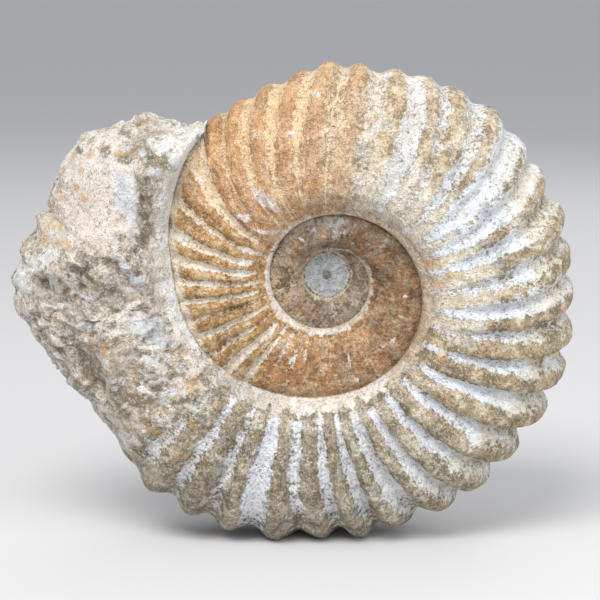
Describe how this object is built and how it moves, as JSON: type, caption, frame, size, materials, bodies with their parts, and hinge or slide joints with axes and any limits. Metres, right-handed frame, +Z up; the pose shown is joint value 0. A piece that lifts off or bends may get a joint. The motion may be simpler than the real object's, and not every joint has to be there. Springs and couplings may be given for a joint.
{
  "type": "fossil ammonite",
  "caption": "Fossil ammonite: flat-coiled ribbed shell with an open centre and broken rock in its mouth, standing on edge as one stone.",
  "frame": {"origin": "middle of the bounding box on the surface the stone stands on", "axes": "+X to the right across the coil as seen from the front, away from the rock, +Y through the coil towards its back, +Z up"},
  "size_m": [0.2394, 0.0832, 0.203],
  "materials": {
    "fossil_stone": "weathered ochre and grey-brown limestone, chalky white in the grooves"
  },
  "bodies": {
    "root": {"ammonite": "fossil_stone"}
  },
  "joints": []
}
